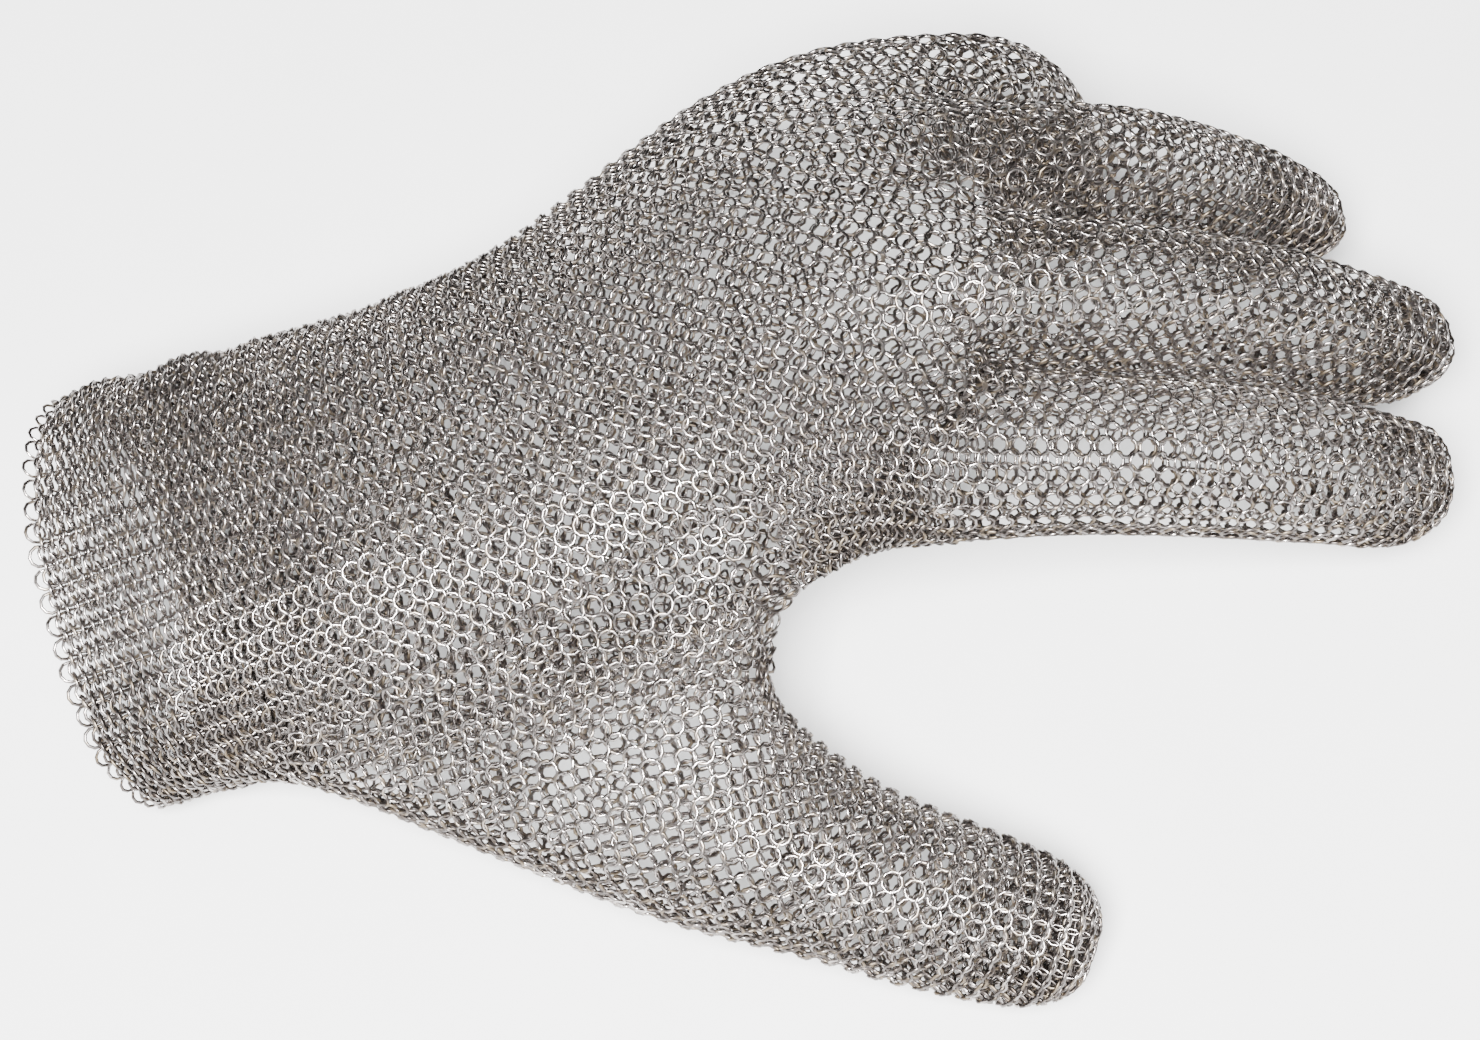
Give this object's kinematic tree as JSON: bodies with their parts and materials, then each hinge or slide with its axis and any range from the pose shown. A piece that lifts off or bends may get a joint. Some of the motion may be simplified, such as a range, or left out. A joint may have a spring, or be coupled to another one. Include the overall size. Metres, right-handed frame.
{
  "type": "chainmail glove",
  "caption": "Five-finger left-hand glove of woven steel ring mail, hollow, with a plain cuff, a thumb gusset and closed fingertips, in the form it has when worn.",
  "frame": {"origin": "centre of the wrist opening, in the plane of the cuff's rim", "axes": "+X along the hand towards the fingertips, +Y towards the little-finger side, +Z out of the back of the hand"},
  "size_m": [0.2283, 0.1579, 0.0922],
  "materials": {
    "steel_mail": "bright stainless steel rings, lightly tarnished"
  },
  "bodies": {
    "root": {"cuff": "steel_mail", "hand": "steel_mail", "thumb": "steel_mail", "index_finger": "steel_mail", "middle_finger": "steel_mail", "ring_finger": "steel_mail", "little_finger": "steel_mail"}
  },
  "joints": []
}
